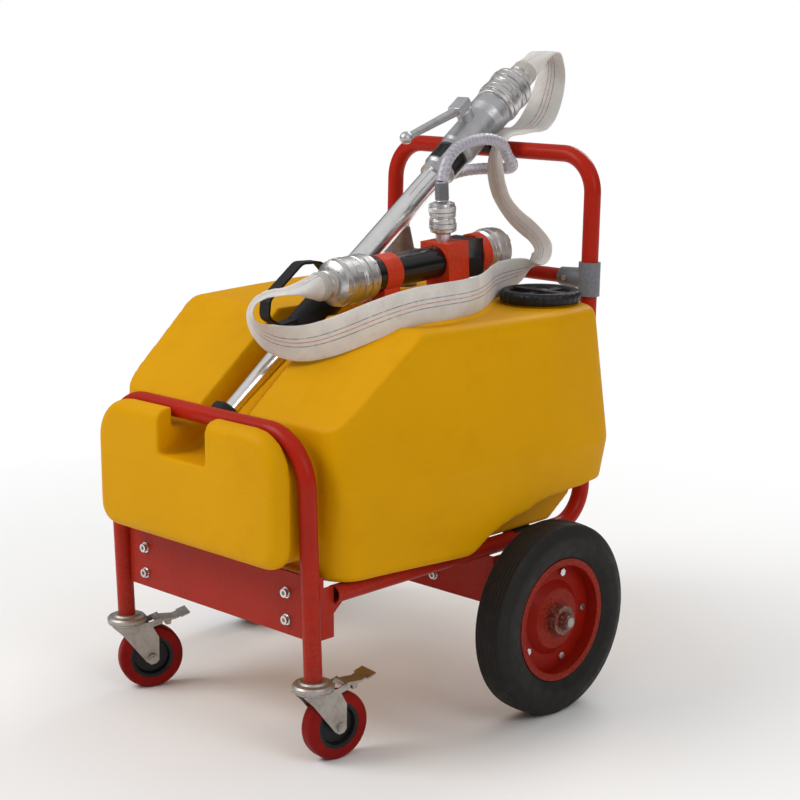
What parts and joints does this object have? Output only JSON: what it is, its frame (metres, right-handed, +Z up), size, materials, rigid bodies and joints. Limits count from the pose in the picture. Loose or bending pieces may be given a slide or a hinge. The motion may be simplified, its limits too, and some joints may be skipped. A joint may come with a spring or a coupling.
{
  "type": "wheeled foam trolley",
  "caption": "Push-along firefighting foam unit: moulded tank on a tube frame, two rear wheels, two braked castors, foam inductor, branchpipe and coiled hose.",
  "frame": {"origin": "on the ground under the middle of the trolley, hoses left out", "axes": "+X to the right seen from the front hoop, +Y towards the push handle, +Z up"},
  "size_m": [0.972, 1.114, 1.3279],
  "materials": {
    "red_paint": "gloss powder coat",
    "yellow_tank": "satin moulded",
    "black_plastic": "satin",
    "grey_plastic": "satin",
    "black_gloss": "gloss",
    "orange_paint": "satin paint",
    "cast_aluminium": "cast, satin",
    "brushed_tube": "brushed",
    "zinc": "zinc plated",
    "black_rubber": "matt",
    "red_tread": "matt",
    "tyre": "matt",
    "brass": "turned",
    "hose_cloth": "woven jacket",
    "hose_pvc": "clear with spiral",
    "strainer": "woven mesh"
  },
  "bodies": {
    "chassis": {"front_hoop": "red_paint", "front_cross_plate": "red_paint", "rail_brackets": "red_paint", "chassis_tube": "red_paint", "handle_crossbar": "red_paint", "tee_clamps": "grey_plastic", "rear_cross_plate": "red_paint", "frame_bolts": "zinc", "axle_shaft": "zinc", "axle_spacers": "zinc", "axle_nuts": "zinc", "tank_shell": "yellow_tank", "tank_pads": "black_rubber", "filler_neck": "yellow_tank", "suction_fitting": "strainer", "dip_tube": "grey_plastic", "foot_strainer": "strainer", "pipe_barrel": "brushed_tube", "pipe_tip_bumper": "black_rubber", "grip_sleeve": "black_rubber", "carry_loop": "black_rubber", "pipe_head": "cast_aluminium", "jet_insert": "brass", "pipe_coupling": "cast_aluminium", "hose_coupling_top": "cast_aluminium", "pipe_supports": "black_rubber", "inductor_barrel": "black_gloss", "clamp_front": "orange_paint", "clamp_rear": "orange_paint", "inlet_flange": "orange_paint", "outlet_coupling": "cast_aluminium", "hose_coupling_low": "cast_aluminium", "pickup_coupling": "cast_aluminium", "suction_coupling": "cast_aluminium", "delivery_hose": "hose_cloth", "suction_hose": "hose_pvc", "castor_head_left": "zinc", "castor_head_right": "zinc"},
    "castor_left": {"castor_fork_left": "zinc"},
    "castor_right": {"castor_fork_right": "zinc"},
    "pedal_left": {"brake_pedal_left": "zinc"},
    "pedal_right": {"brake_pedal_right": "zinc"},
    "castor_wheel_left": {"castor_core_left": "black_plastic", "castor_tread_left": "red_tread"},
    "castor_wheel_right": {"castor_core_right": "black_plastic", "castor_tread_right": "red_tread"},
    "wheel_left": {"rear_tyre_left": "tyre", "rear_rim_left": "red_paint", "rim_bolts_left": "zinc", "wheel_hub_left": "zinc"},
    "wheel_right": {"rear_tyre_right": "tyre", "rear_rim_right": "red_paint", "rim_bolts_right": "zinc", "wheel_hub_right": "zinc"},
    "cap_thread": {"cap_seal": "black_rubber"},
    "cap": {"filler_cap": "black_plastic"},
    "valve": {"valve_ball": "zinc", "valve_lever": "cast_aluminium", "valve_knob": "black_plastic"},
    "inlet_swivel": {"inlet_coupling": "cast_aluminium"}
  },
  "joints": [
    {"name": "castor_swivel_left", "type": "hinge", "parent": "chassis", "child": "castor_left", "pos_m": [-0.288, -0.437, 0.145], "axis": [0, 0, 1], "continuous": true},
    {"name": "castor_roll_left", "type": "hinge", "parent": "castor_left", "child": "castor_wheel_left", "pos_m": [-0.26802, -0.39336, 0.0685], "axis": [0.9092, -0.4163, 0], "continuous": true},
    {"name": "brake_pedal_left", "type": "hinge", "parent": "castor_left", "child": "pedal_left", "pos_m": [-0.26136, -0.37881, 0.1485], "axis": [0.9092, -0.4163, 0], "range_deg": [-18, 0]},
    {"name": "rear_wheel_left", "type": "hinge", "parent": "chassis", "child": "wheel_left", "pos_m": [-0.432, 0.092, 0.2], "axis": [1, 0, 0], "continuous": true},
    {"name": "castor_swivel_right", "type": "hinge", "parent": "chassis", "child": "castor_right", "pos_m": [0.288, -0.437, 0.145], "axis": [0, 0, 1], "continuous": true},
    {"name": "castor_roll_right", "type": "hinge", "parent": "castor_right", "child": "castor_wheel_right", "pos_m": [0.29551, -0.38959, 0.0685], "axis": [0.9877, -0.1564, 0], "continuous": true},
    {"name": "brake_pedal_right", "type": "hinge", "parent": "castor_right", "child": "pedal_right", "pos_m": [0.29801, -0.37379, 0.1485], "axis": [0.9877, -0.1564, 0], "range_deg": [-18, 0]},
    {"name": "rear_wheel_right", "type": "hinge", "parent": "chassis", "child": "wheel_right", "pos_m": [0.432, 0.092, 0.2], "axis": [1, 0, 0], "continuous": true},
    {"name": "cap_lift", "type": "slide", "parent": "chassis", "child": "cap_thread", "axis": [0, 0, 1], "range_m": [0, 0.012]},
    {"name": "cap_turn", "type": "hinge", "parent": "cap_thread", "child": "cap", "pos_m": [0.272, 0.235, 0.815], "axis": [0, 0, 1], "range_deg": [0, 720]},
    {"name": "valve_lever", "type": "hinge", "parent": "chassis", "child": "valve", "pos_m": [0, 0.32603, 1.15403], "axis": [0, 0.5842, -0.8116], "range_deg": [0, 90]},
    {"name": "inlet_swivel", "type": "hinge", "parent": "chassis", "child": "inlet_swivel", "pos_m": [0.1, 0.26249, 0.90601], "axis": [0, 0.9988, 0.0489], "continuous": true}
  ],
  "couplings": [
    {"joint": "cap_turn", "follows": "cap_lift", "rad_per_m": 1047.2}
  ]
}
